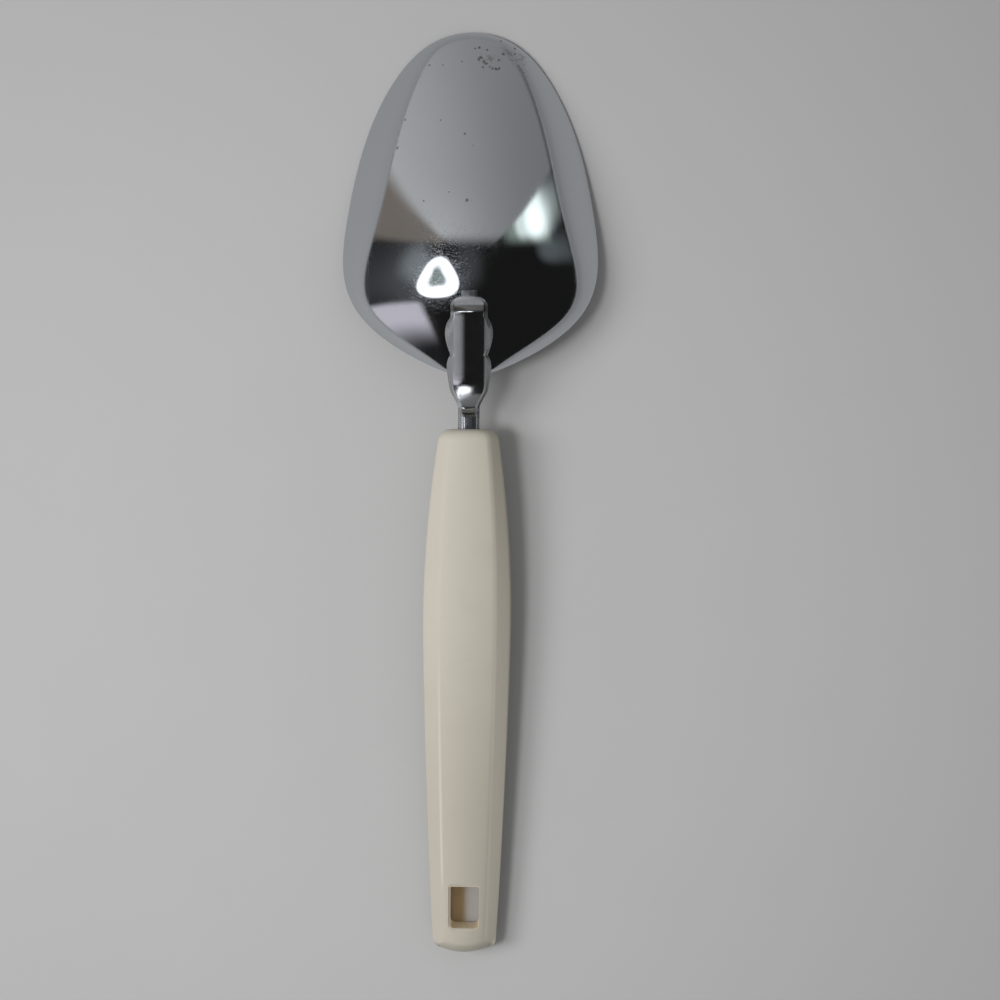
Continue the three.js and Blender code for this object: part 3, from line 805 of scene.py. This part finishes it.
def shank_plating():
    material, start = new_material("shank_plating")
    position = start.node("ShaderNodeTexCoord", output="Object")
    drawn = position.vector("MULTIPLY", DRAW_LINES).noise(1, detail=2)
    haze = position.noise(220, detail=3).smooth(0.4, 0.8)
    grime = position.noise(700, detail=3).smooth(0.62, 0.8)
    _, y, _ = position.parts()
    rough_front = y.smooth(TIP_Y - CREST_RUN, TIP_Y - NOSE_RUN)
    flank, edges, rib_end, cap, tab = shank_marks(position)
    dull = (flank * 0.25).math("MAXIMUM", edges * 0.45).math("MAXIMUM", rib_end * 0.2)
    # Painted shade: the ears, the edges and the rib's end are darkened for the dark reflections they show,
    # and the tab is darkened too.
    darkened = (edges * 0.8).math("MAXIMUM", tab * 0.6).math("MAXIMUM", rib_end * 0.3)
    colour = darkened.mix(SHANK_STEEL, DARKENED_STEEL)
    # Painted dark reflection: the cap is painted near black, for the dark room it faces.
    colour = (cap * 0.8).mix(colour, DARK_REFLECTION_STEEL)
    finish_surface(
        start,
        base_color=(grime * 0.5).mix(colour, RUST),
        metallic=1 - dull,
        roughness=0.10 + haze * 0.08 + grime * 0.15 + rough_front * 0.22 + dull * 0.3,
        normal=(drawn * DRAW_LINE_DEPTH).bump(),
    )
    return material


def weld_steel():
    material, start = new_material("weld_steel")
    position = start.node("ShaderNodeTexCoord", output="Object")
    mottle = position.noise(1500, detail=3).smooth(0.35, 0.7)
    finish_surface(
        start,
        base_color=mottle.mix(DULL_STEEL, HEAT_TINT),
        metallic=0.9,
        roughness=0.4 + mottle * 0.2,
        normal=(mottle * WELD_MOTTLE_DEPTH).bump(),
    )
    return material


shank = make_shank()
shank.data.materials.append(shank_plating())
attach(shank, "root")
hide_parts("shank")
welds = [node for name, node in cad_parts.items() if name.startswith("spot_weld")]
weld_finish = weld_steel()
for weld in welds:
    weld.data.materials.clear()
    weld.data.materials.append(weld_finish)
print("Shank faces:", len(shank.data.polygons), "and welds:", len(welds))

# %% [markdown]
# ## The handle
# The handle is one moulding: eight-sided, with a slightly crowned top, sloping bevels, a domed front and a
# bowed end with rounded corners. Its left arris is soft at the front and crisp towards the end, while the
# right side of the end is worn down a little. Rings of points along its axis give all of this, and two
# cutters take out the hang hole with its sloped lip and the socket for the tang.

# %% Sizes of the handle
HANDLE.front_half_width = 0.0084
HANDLE.swell_half_width = 0.0129
HANDLE.end_half_width = 0.0092
HANDLE.swell_at = 0.056
HANDLE.end_taper_power = 1.4
HANDLE.front_side_bevel = 0.0026
HANDLE.swell_side_bevel = 0.0047
HANDLE.end_side_bevel = 0.0033
HANDLE.side_height = 0.003
HANDLE.front_arris = 0.0026
HANDLE.end_arris = 0.0006
HANDLE.crown = 0.0008
HANDLE.worn_right = 0.0010
HANDLE.front_dome = 0.0033
HANDLE.end_rounding = 0.0036
HANDLE.end_drop = 0.0040
HANDLE.end_corner = 0.0018
HANDLE.end_bow = 0.0023
HANDLE.end_bow_reach = 0.022
HOLE = SimpleNamespace(
    length=0.0123,
    width=0.0085,
    to_end=0.0077,
    front_corner=0.0006,
    end_corner=0.0016,
    lip_width=0.0013,
    lip_depth=0.0008,
)
TANG_GAP = 0.0003
ARRIS_STEPS = 6
FLAT_PARTS = 12
CORNER_STEPS = 6
DOME_STATIONS = 12
HANDLE_STEP = 0.0016
BEVEL_STATIONS = 8


def swell(along, front, widest, end):
    """A half width that swells from the front to the widest place and narrows to the end."""
    if along < HANDLE.swell_at:
        return widest - (widest - front) * (1 - along / HANDLE.swell_at) ** 2
    share = (along - HANDLE.swell_at) / (HANDLE.length - HANDLE.swell_at)
    return widest - (widest - end) * share**HANDLE.end_taper_power


def rounded_outline(corners, steps):
    """A polygon's corners, each x, y, radius and parts of the edge after it, as short curves."""
    curves = []
    for i, (x, y, radius, _) in enumerate(corners):
        corner = Vector((x, y))
        to_before = Vector(corners[i - 1][:2]) - corner
        to_after = Vector(corners[(i + 1) % len(corners)][:2]) - corner
        tangent = radius / math.tan(to_before.angle(to_after) / 2)
        reach = min(tangent, to_before.length / 2, to_after.length / 2)
        first = corner + to_before.normalized() * reach
        last = corner + to_after.normalized() * reach
        shares = [k / steps for k in range(steps + 1)]
        curves.append([first.lerp(corner, t).lerp(corner.lerp(last, t), t) for t in shares])
    outline = []
    for i, curve in enumerate(curves):
        parts = corners[i][3]
        following = curves[(i + 1) % len(curves)][0]
        outline += curve + [curve[-1].lerp(following, k / parts) for k in range(1, parts)]
    return outline


def handle_ring(along):
    """A closed loop of points round the handle, in its own frame: front at the origin, axis along -Y."""
    into_dome = 1 - min(along / HANDLE.front_dome, 1)
    inset = HANDLE.front_dome * (1 - math.sqrt(1 - into_dome**2))
    into_end = max(along - (HANDLE.length - HANDLE.end_rounding), 0) / HANDLE.end_rounding
    drop = HANDLE.end_drop * into_end**2
    into_corner = max(along - (HANDLE.length - HANDLE.end_corner), 0) / HANDLE.end_corner
    corner_inset = HANDLE.end_corner * (1 - math.sqrt(1 - into_corner**2))
    width = swell(along, HANDLE.front_half_width, HANDLE.swell_half_width, HANDLE.end_half_width)
    bevel = swell(along, HANDLE.front_side_bevel, HANDLE.swell_side_bevel, HANDLE.end_side_bevel)
    thick = HANDLE.thickness / 2
    bevel_run = bevel / (thick - HANDLE.side_height / 2)
    half = thick - inset - drop
    side = min(HANDLE.side_height / 2 * (1 - inset / thick), half - HANDLE.end_arris / 2)
    outer = width - inset - corner_inset
    flat = min(width - bevel + drop * bevel_run, width - HANDLE.end_arris) * outer / width
    arris = lerp(HANDLE.front_arris, HANDLE.end_arris, ease(along, 0, HANDLE.length))
    soft = HANDLE.front_arris
    corners = [
        (flat, half, soft, FLAT_PARTS), (-flat, half, arris, 2),
        (-outer, side, arris, 2), (-outer, -side, arris, 2),
        (-flat, -half, arris, FLAT_PARTS), (flat, -half, arris, 2),
        (outer, -side, arris, 2), (outer, side, arris, 2),
    ]
    bow = HANDLE.end_bow * ease(along, HANDLE.length - HANDLE.end_bow_reach, HANDLE.length)
    ring = []
    for x, z in rounded_outline(corners, ARRIS_STEPS):
        worn = HANDLE.worn_right * ease(along, 0, HANDLE.length) * clamp((x + flat) / (2 * flat)) ** 2
        lowered = (HANDLE.crown * min(1, (x / flat) ** 2) + worn) * clamp((z - side) / (half - side))
        ring.append(Vector((x, bow * (x / width) ** 2 - along, z - lowered)))
    return ring


def handle_stations():
    dome = [HANDLE.front_dome * (1 - math.cos(math.pi / 2 * i / DOME_STATIONS)) for i in range(DOME_STATIONS)]
    end = HANDLE.length - HANDLE.end_rounding
    bevel = [lerp(end, HANDLE.length, i / BEVEL_STATIONS) for i in range(BEVEL_STATIONS + 1)]
    return dome + steps_between(HANDLE.front_dome, end, HANDLE_STEP) + bevel


def hole_ring(height, growth):
    half_x = HOLE.width / 2 + growth
    half_y = HOLE.length / 2 + growth
    front = HOLE.front_corner + growth
    end = HOLE.end_corner + growth
    corners = [
        (half_x, half_y, front, 1), (-half_x, half_y, front, 1),
        (-half_x, -half_y, end, 1), (half_x, -half_y, end, 1),
    ]
    middle = HANDLE.length - HOLE.to_end - HOLE.length / 2
    return [Vector((x, y - middle, height)) for x, y in rounded_outline(corners, CORNER_STEPS)]


def hole_cutter():
    level = HANDLE.thickness / 2
    inner = level - HOLE.lip_depth
    outer = level + HOLE.lip_depth
    wide = 2 * HOLE.lip_width
    rings = [hole_ring(-outer, wide), hole_ring(-inner, 0), hole_ring(inner, 0), hole_ring(outer, wide)]
    return loft("hole_cutter", rings)


def socket_cutter():
    half_x = SHANK.neck_rib_half_width + SHANK.neck_skirt + TANG_GAP
    half_z = SHANK.neck_height / 2 + TANG_GAP
    depth = SHANK.tang_length + TANG_GAP
    corners = [(half_x, half_z), (-half_x, half_z), (-half_x, -half_z), (half_x, -half_z)]
    return loft("socket_cutter", [[Vector((x, y, z)) for x, z in corners] for y in (depth, -depth)])


def make_handle():
    piece = new_piece("handle_moulding", loft("handle_moulding", [handle_ring(a) for a in handle_stations()]))
    cutters = [new_piece(mesh.name, mesh) for mesh in (hole_cutter(), socket_cutter())]
    for cutter in cutters:
        cut = piece.modifiers.new(cutter.name, "BOOLEAN")
        cut.operation = "DIFFERENCE"
        cut.solver = "EXACT"
        cut.object = cutter
    plain_mesh(piece)
    for cutter in cutters:
        bpy.data.objects.remove(cutter)
    front = Matrix.Translation((0, TIP_Y - HANDLE_RUN, AXIS_FRONT_HEIGHT))
    piece.data.transform(front @ Matrix.Rotation(TILT, 4, "X"))
    piece.data.set_sharp_from_angle(angle=SHARP_ANGLE)
    return piece


# %% [markdown]
# ## Cream plastic
# The handle is solid-coloured, so its colour goes right through: a warm cream that has yellowed a little.
# The surface is satin with the fine grain of the mould, faint grubby patches and a few dark specks. Painted
# shade darkens the right side, the end and the rear half, the hole's walls are painted a deeper, warmer
# cream as painted shade, and a painted highlight runs as a thin pale line along the left arris.
# The walls of the hang hole glow a little warmer, because light seeps through the plastic there. Subsurface
# scattering would do that too, but a faint glow on those walls alone is quicker and has no noise.

# %% Cream plastic
CREAM = (0.485, 0.458, 0.390, 1)
CREAM_GRUBBY = (0.44, 0.41, 0.335, 1)
CREAM_SHADED = (0.40, 0.372, 0.31, 1)
CREAM_ARRIS_HIGHLIGHT = (0.50, 0.475, 0.415, 1)
CREAM_HOLE_SHADE = (0.47, 0.41, 0.31, 1)
SEEPING_LIGHT = (0.20, 0.16, 0.11, 1)
SPECK = (0.20, 0.17, 0.12, 1)
HOLE_END_Y = TIP_Y - HANDLE_RUN - HANDLE.length + HOLE.to_end
HOLE_MARGINS = (0.00006, 0.00003)
END_WALL_FADES = (0.0004, 0.0012)
ARRIS_LINE_FADES = (0.0005, 0.0002)
ARRIS_LINE_STARTS = (0.062, 0.078)
ARRIS_LINE_ENDS = (0.138, 0.128)
SHADE_SIDEWAYS = (0.25, 0.6)
SHADE_ENDWAYS = (-0.2, -0.6)
SHADE_REAR_Y = (-0.03, -0.10)
GRAIN_HEIGHT = 0.00001
WAVE_HEIGHT = 0.00004


def off_end_wall(position):
    """Less on the hole's end wall, which is thick and passes little light."""
    _, y, _ = position.parts()
    return 0.25 + 0.75 * (y - HOLE_END_Y).smooth(*END_WALL_FADES)


def inside_hole(position):
    """A mask of the hang hole's walls, seen in plan."""
    x, y, _ = position.parts()
    middle = HOLE_END_Y + HOLE.length / 2
    in_width = (x.math("ABSOLUTE") - HOLE.width / 2).smooth(*HOLE_MARGINS)
    in_length = ((y - middle).math("ABSOLUTE") - HOLE.length / 2).smooth(*HOLE_MARGINS)
    return in_width * in_length


def left_arris_highlight(position):
    """A mask of the thin painted highlight along the rear of the top's left arris."""
    x, y, _ = position.parts()
    along = TIP_Y - HANDLE_RUN - y
    rear = ((along - HANDLE.swell_at) / (HANDLE.length - HANDLE.swell_at)).clamped()
    widest = HANDLE.swell_half_width - HANDLE.swell_side_bevel
    end = HANDLE.end_half_width - HANDLE.end_side_bevel
    flat = widest - rear**HANDLE.end_taper_power * (widest - end)
    on_line = (x + flat).math("ABSOLUTE").smooth(*ARRIS_LINE_FADES)
    return on_line * along.smooth(*ARRIS_LINE_STARTS) * along.smooth(*ARRIS_LINE_ENDS)


def painted_shade_places(position, normal):
    """A mask of painted shade: the handle's right side, its end and its rear half are painted darker."""
    _, y, _ = position.parts()
    sideways, endways, _ = normal.parts()
    sides = sideways.smooth(*SHADE_SIDEWAYS).math("MAXIMUM", endways.smooth(*SHADE_ENDWAYS))
    return sides.math("MAXIMUM", y.smooth(*SHADE_REAR_Y) * 0.65)


def handle_plastic():
    material, start = new_material("handle_plastic")
    position = start.node("ShaderNodeTexCoord", output="Object")
    grubby = position.noise(70, detail=4).smooth(0.45, 0.8)
    specks = position.noise(1100, detail=1).smooth(0.80, 0.86)
    grain = position.noise(2200, detail=2)
    waves = position.noise(160, detail=2)
    facing = start.node("ShaderNodeNewGeometry", output="Normal")
    _, _, upwards = facing.parts()
    colour = (grubby * 0.5).mix(CREAM, CREAM_GRUBBY)
    # Painted shade: the right side, the end and the rear half are painted darker.
    colour = painted_shade_places(position, facing).mix(colour, CREAM_SHADED)
    # Painted highlight: a thin pale line along the rear of the left arris.
    colour = (left_arris_highlight(position) * upwards.smooth(0.2, 0.6)).mix(colour, CREAM_ARRIS_HIGHLIGHT)
    in_hole = inside_hole(position)
    # Painted shade: the hang hole's walls are painted a deeper, warmer cream.
    colour = in_hole.mix(colour, CREAM_HOLE_SHADE)
    colour = (specks * 0.6).mix(colour, SPECK)
    height = grain * GRAIN_HEIGHT + waves * WAVE_HEIGHT
    finish_surface(
        start,
        base_color=colour,
        roughness=0.42 + grubby * 0.1,
        emission_color=(in_hole * off_end_wall(position)).mix(grey(0), SEEPING_LIGHT),
        emission_strength=1.0,
        normal=height.bump(),
    )
    return material


handle = make_handle()
handle.data.materials.clear()
handle.data.materials.append(handle_plastic())
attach(handle, "root")
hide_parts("handle")
print("Handle faces:", len(handle.data.polygons))

# %% [markdown]
# ## The table
# The floor is a plain pale grey table top. Its colour is painted a little darker away from the light, as
# painted shade for the lamps' falloff. Near the scoop it takes light and shadow. Further away it fades into
# an even pale grey of its own, so that the mirror and low views never show a dark edge. Inside the hang hole,
# light that has come through the cream plastic is painted on it as a brown tint on one side.

# %% The table
TABLE_GREY = 0.438
DIM_CENTRE = (-0.015, -0.03, 0)
DIM_FROM = 0.07
DIM_TO = 0.31
DIM_GREY = 0.37
FAR_GREY = 0.36
TABLE_SEEPING = (0.46, 0.37, 0.25, 1)
FADE_FROM = 0.25
FADE_TO = 1.0
SEEPING_FADES = (0.0006, -0.0006)
MOTTLE_SHARE = 0.015
FLOOR_HALF = 10.0
FLOOR_DROP = 0.0001


def table_top():
    material, start = new_material("table_top")
    position = start.node("ShaderNodeTexCoord", output="Object")
    far = position.vector("LENGTH", (0, 0, 0), output="Value").smooth(FADE_FROM, FADE_TO)
    mottle = position.noise(40, detail=3)
    paint = mottle.mix(grey(TABLE_GREY * (1 - MOTTLE_SHARE)), grey(TABLE_GREY * (1 + MOTTLE_SHARE)))
    dim = position.vector("DISTANCE", DIM_CENTRE, output="Value").smooth(DIM_FROM, DIM_TO)
    # Painted shade: the table is painted darker away from a centre, for the falloff of the lamps' light.
    paint = dim.mix(paint, grey(DIM_GREY))
    x, _, _ = position.parts()
    # Painted light: a warm brown tint on the left half of the hang hole's floor, for light seeping through
    # the plastic.
    paint = (inside_hole(position) * x.smooth(*SEEPING_FADES)).mix(paint, TABLE_SEEPING)
    near = start.node("ShaderNodeBsdfDiffuse", inputs={"Color": paint})
    even = start.node("ShaderNodeEmission", inputs={"Color": grey(FAR_GREY), "Strength": 1.0})
    surface = start.node("ShaderNodeMixShader", inputs={0: far, 1: near, 2: even})
    start.node("ShaderNodeOutputMaterial", inputs={"Surface": surface})
    return material


def make_floor():
    mesh = bpy.data.meshes.new("floor")
    corners = [(-1, -1), (1, -1), (1, 1), (-1, 1)]
    mesh.from_pydata([(x * FLOOR_HALF, y * FLOOR_HALF, -FLOOR_DROP) for x, y in corners], [], [(0, 1, 2, 3)])
    floor = new_piece("floor", mesh)
    mesh.materials.append(table_top())
    return floor


make_floor()
print("Table grey:", TABLE_GREY)

# %% [markdown]
# ## Light, and what the mirror sees
# A small lamp stands high on the left, a broad one lower on the left, and the sky fills the shadows. A
# mirror shows its surroundings, so the sky has a second face for glossy rays alone: a studio with a grey
# card beyond the tip, a ring lamp, a bright window on the right, a pale sheet on the left and a dark room
# behind. Each is a mask of the ray's direction, so no picture is needed.

# %% What the mirror sees
LAMP_CENTRE = (-0.415, -0.062)
LAMP_REACH = (0.255, 0.195)
LAMP_HOLE_CENTRE = (-0.43, -0.035)
LAMP_HOLE_REACH = (0.112, 0.10)
LAMP_TURN = 0.45
LAMP_WHITE = (2.6, 2.65, 2.75, 1)
LAMP_MIDDLE = (0.27, 0.32, 0.29, 1)
WINDOW = [((0.80, 0.40, 0), 0.10, 1.0), ((0.68, 0.38, 0), 0.09, 0.5), ((0.77, 0.46, 0), 0.07, 0.6)]
WINDOW_WHITE = (1.9, 2.1, 2.0, 1)
WINDOW_GLOW = (0.34, 0.40, 0.34, 1)
SHEET_CORNER = (-0.636, -0.293)
SHEET_LEAN = 0.366
SHEET_SOFT = 0.05
SHEET_PALE = (0.80, 0.76, 0.82, 1)
SHEET_SHADED = (0.02, 0.02, 0.02, 1)
SHEET_FADES = (-0.50, -0.82)
DARK = (0.013, 0.013, 0.012, 1)
ROOM = [
    ((-0.05, 0.05, 0), 0.30, (0.075, 0.077, 0.08, 1)),
    ((-0.72, 0.0, 0), 0.50, (0.10, 0.105, 0.11, 1)),
    ((-0.68, 0.10, 0), 0.24, (0.28, 0.30, 0.31, 1)),
    ((0.90, 0.27, 0), 0.13, (0.13, 0.145, 0.15, 1)),
]
BROWN = (0.256, 0.222, 0.192, 1)
BROWN_LOWER = SimpleNamespace(bow=0.11, fades=(0.20, 0.25))
BROWN_RIGHT_FADES = (-0.3, -0.45)
CARD_TINT = (1.09, 1.09, 1.08, 1)
CARD_LEVEL = 0.425
CARD_LOWER = SimpleNamespace(bow=0.10, fades=(0.20, 0.30))
CARD_LEFT = SimpleNamespace(lean=0.535, dip=0.065, fades=(-0.03, 0.04))
CARD_RIGHT = SimpleNamespace(lean=-0.5695, dip=0.0607, fades=(-0.015, 0.015))


def above(dx, dy, edge):
    """A mask of what lies above a slightly bowed lower edge."""
    return (dy - edge.bow * dx**2).smooth(*edge.fades)


def beside(dx, dy, dz, edge):
    """A mask of what lies on the card's side of a leaning edge."""
    return (edge.lean * dx + dy - edge.dip * dz).smooth(*edge.fades)


def card_colour(dx, dy):
    """Brighter on the left and towards its lower edge."""
    glow = dy.smooth(0.60, 0.25) * dx.smooth(0.4, -0.5) * 0.10
    level = CARD_LEVEL - 0.20 * dx - 0.12 * (dy - 0.3) * (1 - dx) + glow
    return level.mix(grey(0), CARD_TINT)


def oval_distance(dx, dy, centre, reach):
    """Distance from a centre, as a share of an oval's reach, and the angle round it."""
    x = (dx - centre[0]) / reach[0]
    y = (dy - centre[1]) / reach[1]
    return (x**2 + y**2) ** 0.5, y.math("ARCTAN2", x)


def lamp_masks(dx, dy):
    """The whole disc of the ring lamp and the dark hole in it; its outline is a rounded triangle."""
    away, angle = oval_distance(dx, dy, LAMP_CENTRE, LAMP_REACH)
    outline = 1 + 0.08 * ((angle + LAMP_TURN) * 3).math("COSINE")
    disc = (away / outline).smooth(1.06, 0.94)
    hole_away, hole_angle = oval_distance(dx, dy, LAMP_HOLE_CENTRE, LAMP_HOLE_REACH)
    hole_outline = 1 + 0.18 * ((hole_angle + LAMP_TURN) * 3).math("COSINE")
    return disc, (hole_away / hole_outline).smooth(1.3, 0.6)


def sheet_mask(dx, dy):
    """A pale sheet on the left, below and left of one corner, and how far down it a direction lies."""
    down = SHEET_CORNER[1] - dy
    to_right = dx - SHEET_CORNER[0] - SHEET_LEAN * down
    inside = down.smooth(-SHEET_SOFT, SHEET_SOFT) * to_right.smooth(SHEET_SOFT, -SHEET_SOFT)
    return inside, dy.smooth(*SHEET_FADES)


def studio_colour(start):
    direction = start.node("ShaderNodeTexCoord", output="Generated")
    dx, dy, dz = direction.parts()
    plan = direction.vector("MULTIPLY", (1, 1, 0))
    colour = DARK
    for centre, radius, lit in ROOM:
        away = plan.vector("DISTANCE", centre, output="Value")
        colour = away.smooth(radius, radius * 0.2).mix(colour, lit)
    brown = above(dx, dy, BROWN_LOWER) * dx.smooth(*BROWN_RIGHT_FADES)
    colour = brown.mix(colour, BROWN)
    lower = above(dx, dy, CARD_LOWER)
    colour = (lower * dx.smooth(0.38, 0.58) * dz.smooth(0.22, 0.34)).mix(colour, WINDOW_GLOW)
    for centre, radius, share in WINDOW:
        away = plan.vector("DISTANCE", centre, output="Value")
        colour = (away.smooth(radius * 1.3, radius * 0.3) * lower * share).mix(colour, WINDOW_WHITE)
    card = lower * beside(dx, dy, dz, CARD_LEFT) * beside(dx, dy, dz, CARD_RIGHT)
    colour = card.mix(colour, card_colour(dx, dy))
    skirting = dz.smooth(0.05, 0.02) * dx.smooth(0.3, 0.5) * 0.5
    colour = skirting.mix(colour, DARK)
    sheet, down = sheet_mask(dx, dy)
    colour = sheet.mix(colour, down.mix(SHEET_PALE, SHEET_SHADED))
    disc, hole = lamp_masks(dx, dy)
    colour = disc.mix(colour, LAMP_WHITE)
    return hole.mix(colour, LAMP_MIDDLE)


# %% Light
FILL = 0.38
BACKDROP = 0.45
KEY = SimpleNamespace(direction=(-0.40, -0.083, 0.912), distance=1.1, size=0.27, power=4.5)
BROAD = SimpleNamespace(direction=(-0.70, 0.0, 0.71), distance=1.2, size=0.55, power=6.5)


def make_world():
    world = bpy.data.worlds.new("studio")
    world.use_nodes = True
    world.node_tree.nodes.clear()
    bpy.context.scene.world = world
    start = Wire(world.node_tree)
    fill = start.node("ShaderNodeBackground", inputs={"Color": grey(FILL), "Strength": 1.0})
    studio = start.node("ShaderNodeBackground", inputs={"Color": studio_colour(start), "Strength": 1.0})
    backdrop = start.node("ShaderNodeBackground", inputs={"Color": grey(BACKDROP), "Strength": 1.0})
    glossy = start.node("ShaderNodeLightPath", output="Is Glossy Ray")
    seen = start.node("ShaderNodeLightPath", output="Is Camera Ray")
    surface = start.node("ShaderNodeMixShader", inputs={0: glossy, 1: fill, 2: studio})
    surface = start.node("ShaderNodeMixShader", inputs={0: seen, 1: surface, 2: backdrop})
    start.node("ShaderNodeOutputWorld", inputs={"Surface": surface})


def make_lamp(name, sizes):
    """A round lamp that faces the scoop. The mirror doesn't show it, because the studio has its own lamp."""
    data = bpy.data.lights.new(name, "AREA")
    data.shape = "DISK"
    data.size = sizes.size
    data.energy = sizes.power
    lamp = bpy.data.objects.new(name, data)
    towards = Vector(sizes.direction).normalized()
    lamp.location = towards * sizes.distance
    lamp.rotation_euler = (-towards).to_track_quat("-Z", "Y").to_euler()
    lamp.visible_glossy = False
    bpy.context.scene.collection.objects.link(lamp)


make_world()
make_lamp("key_lamp", KEY)
make_lamp("broad_lamp", BROAD)
bpy.context.scene.view_settings.view_transform = "Standard"
print("Lamp powers in watts:", KEY.power, BROAD.power)

# %% [markdown]
# ## The packed model's box
# The finer surfaces are meant to stay inside the packed model's box, which is printed at the start.
